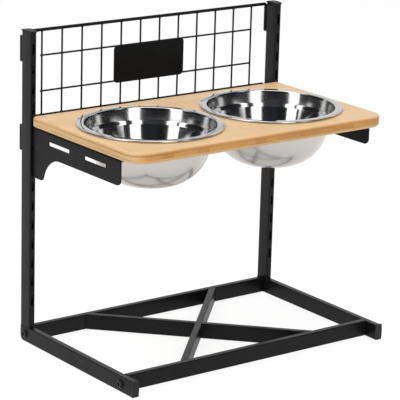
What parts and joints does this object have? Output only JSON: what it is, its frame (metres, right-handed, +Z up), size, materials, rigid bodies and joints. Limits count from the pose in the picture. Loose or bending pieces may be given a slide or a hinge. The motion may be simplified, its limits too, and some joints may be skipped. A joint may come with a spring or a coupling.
{
  "type": "adjustable raised pet bowl stand",
  "caption": "Raised pet feeder: slotted steel side frames carry a height-adjustable bamboo shelf with lift-out steel bowls and a wire guard behind.",
  "frame": {"origin": "on the floor, under the middle of the whole stand", "axes": "+X to the right as seen from the front, +Y from the front to the back, +Z up"},
  "size_m": [0.4698, 0.307, 0.4778],
  "materials": {
    "black_steel": "satin black powder coat",
    "black_plastic": "moulded black",
    "bolt_black": "black oxide",
    "plain_steel": "zinc plated",
    "bowl_steel": "polished inside, satin outside",
    "bamboo": "clear lacquer"
  },
  "bodies": {
    "frame": {"left_post": "black_steel", "left_post_cap": "black_plastic", "left_foot_bar": "black_steel", "left_foot_plug": "black_plastic", "right_post": "black_steel", "right_post_cap": "black_plastic", "right_foot_bar": "black_steel", "right_foot_plug": "black_plastic", "front_bar": "black_steel", "rear_bar": "black_steel", "through_brace": "black_steel", "front_half_brace": "black_steel", "rear_half_brace": "black_steel", "bar_inserts": "plain_steel", "frame_bolts": "bolt_black"},
    "shelf": {"shelf_board": "bamboo", "left_bracket": "black_steel", "right_bracket": "black_steel", "bracket_screws": "plain_steel"},
    "left_bowl": {"left_bowl": "bowl_steel"},
    "right_bowl": {"right_bowl": "bowl_steel"},
    "guard": {"guard_top_rod": "black_steel", "guard_bottom_rod": "black_steel", "lower_cross_wire": "black_steel", "upper_cross_wire": "black_steel", "name_plate": "black_steel", "left_top_hook_plate": "black_steel", "left_bottom_hook_plate": "black_steel", "right_top_hook_plate": "black_steel", "right_bottom_hook_plate": "black_steel", "upright_wire_01": "black_steel", "upright_wire_02": "black_steel", "upright_wire_03": "black_steel", "upright_wire_04": "black_steel", "upright_wire_05": "black_steel", "upright_wire_06": "black_steel", "upright_wire_07": "black_steel", "upright_wire_08": "black_steel", "upright_wire_09": "black_steel", "upright_wire_10": "black_steel", "upright_wire_11": "black_steel", "upright_wire_12": "black_steel"}
  },
  "joints": [
    {"name": "shelf_height", "type": "slide", "parent": "frame", "child": "shelf", "axis": [0, 0, 1], "range_m": [-0.2065, 0.1475]},
    {"name": "left_bowl_lift", "type": "slide", "parent": "shelf", "child": "left_bowl", "axis": [0, 0, 1], "range_m": [0, 0.12]},
    {"name": "right_bowl_lift", "type": "slide", "parent": "shelf", "child": "right_bowl", "axis": [0, 0, 1], "range_m": [0, 0.12]},
    {"name": "guard_lift", "type": "slide", "parent": "frame", "child": "guard", "axis": [0, 0, 1], "range_m": [0, 0.008]}
  ]
}
